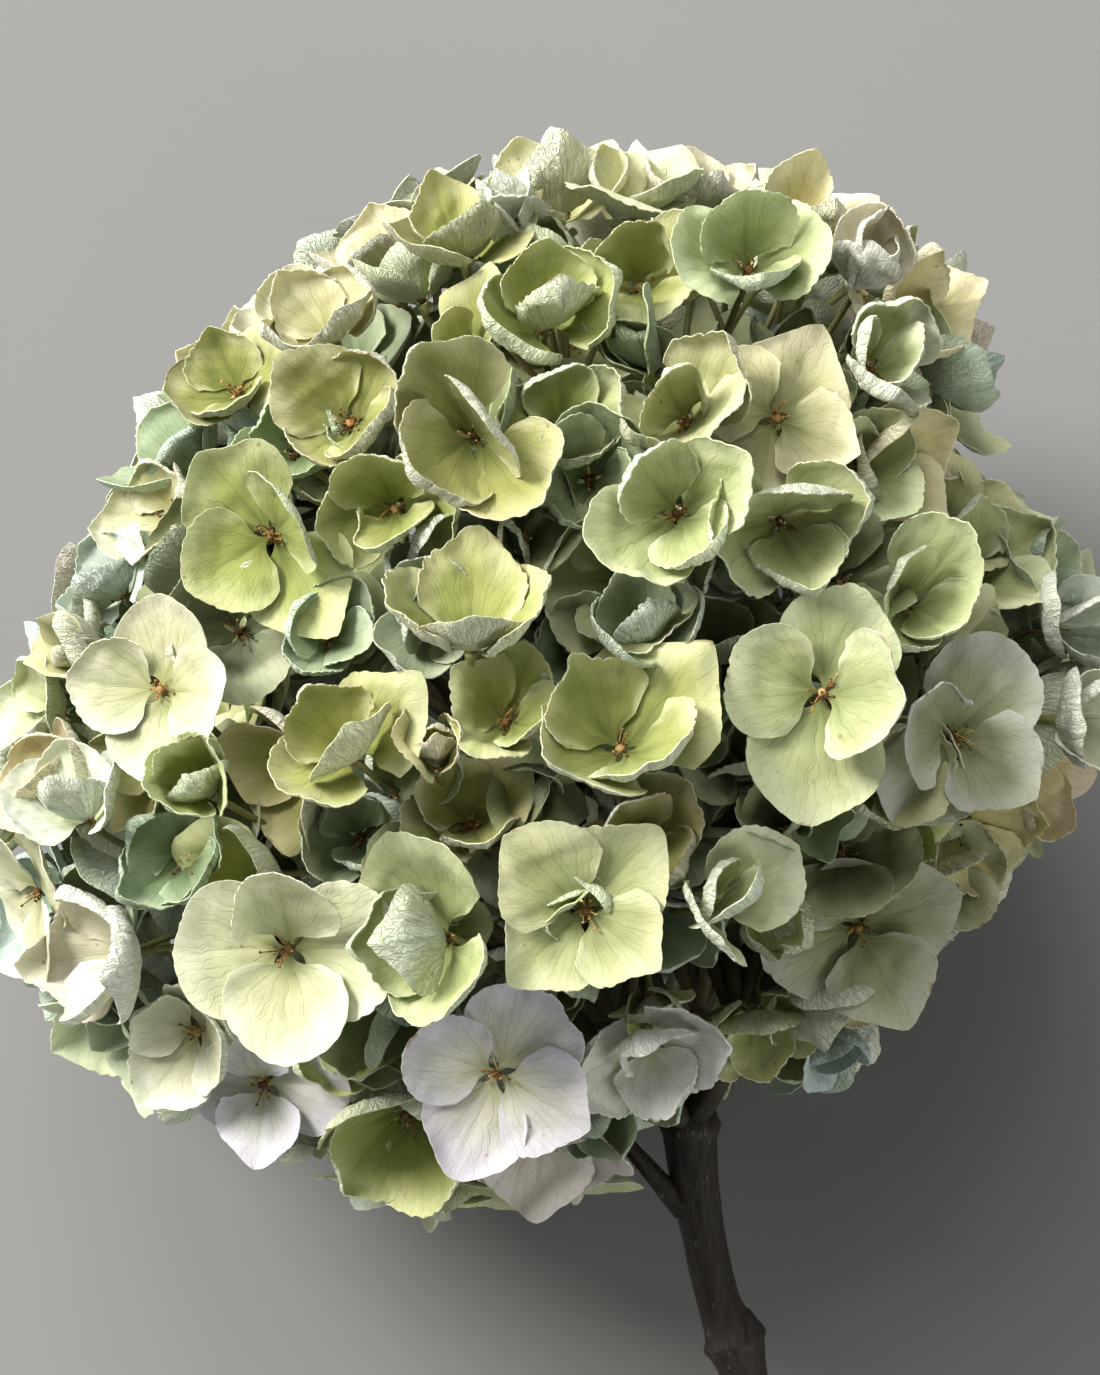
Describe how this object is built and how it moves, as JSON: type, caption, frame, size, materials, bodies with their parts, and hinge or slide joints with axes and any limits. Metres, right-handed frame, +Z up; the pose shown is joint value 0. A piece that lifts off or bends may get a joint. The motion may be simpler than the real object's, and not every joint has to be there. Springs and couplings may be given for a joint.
{
  "type": "dried hydrangea",
  "caption": "Dried mophead hydrangea flower lying down: a domed head of papery four-sepal florets in cymes on branching rays above a dark woody stem.",
  "frame": {"origin": "centre of the bounding box footprint, on the ground under the lying flower", "axes": "+Z up from the ground, +Y along the flower from the cut end of the stem to the top of the head, +X across the head"},
  "size_m": [0.2178, 0.3766, 0.1922],
  "materials": {
    "bark": "rough",
    "ray": "matt",
    "sepals_1": "matt",
    "sepals_2": "matt",
    "sepals_3": "matt",
    "sepals_4": "matt",
    "sepals_5": "matt"
  },
  "bodies": {
    "root": {"stem": "bark", "ray_1": "ray", "ray_2": "ray", "ray_3": "ray", "ray_4": "ray", "ray_5": "ray", "ray_6": "ray", "ray_7": "ray", "cyme_01": "sepals_1", "cyme_02": "sepals_2", "cyme_03": "sepals_3", "cyme_04": "sepals_4", "cyme_05": "sepals_5", "cyme_06": "sepals_1", "cyme_07": "sepals_2", "cyme_08": "sepals_3", "cyme_09": "sepals_4", "cyme_10": "sepals_5", "cyme_11": "sepals_1", "cyme_12": "sepals_2", "cyme_13": "sepals_3", "cyme_14": "sepals_4", "cyme_15": "sepals_5", "cyme_16": "sepals_1", "cyme_17": "sepals_2", "cyme_18": "sepals_3", "cyme_19": "sepals_4", "cyme_20": "sepals_5", "cyme_21": "sepals_1", "cyme_22": "sepals_2", "cyme_23": "sepals_3", "cyme_24": "sepals_4", "cyme_25": "sepals_5", "cyme_26": "sepals_1", "cyme_27": "sepals_2", "cyme_28": "sepals_3", "cyme_29": "sepals_4", "cyme_30": "sepals_5", "cyme_31": "sepals_1", "cyme_32": "sepals_2", "cyme_33": "sepals_3", "cyme_34": "sepals_4", "cyme_35": "sepals_5", "cyme_36": "sepals_1", "cyme_37": "sepals_2", "cyme_38": "sepals_3", "cyme_39": "sepals_4", "cyme_40": "sepals_5", "cyme_41": "sepals_1", "cyme_42": "sepals_2", "cyme_43": "sepals_3", "cyme_44": "sepals_4", "cyme_45": "sepals_5", "cyme_46": "sepals_1", "cyme_47": "sepals_2", "cyme_48": "sepals_3", "cyme_49": "sepals_4", "cyme_50": "sepals_5"}
  },
  "joints": []
}
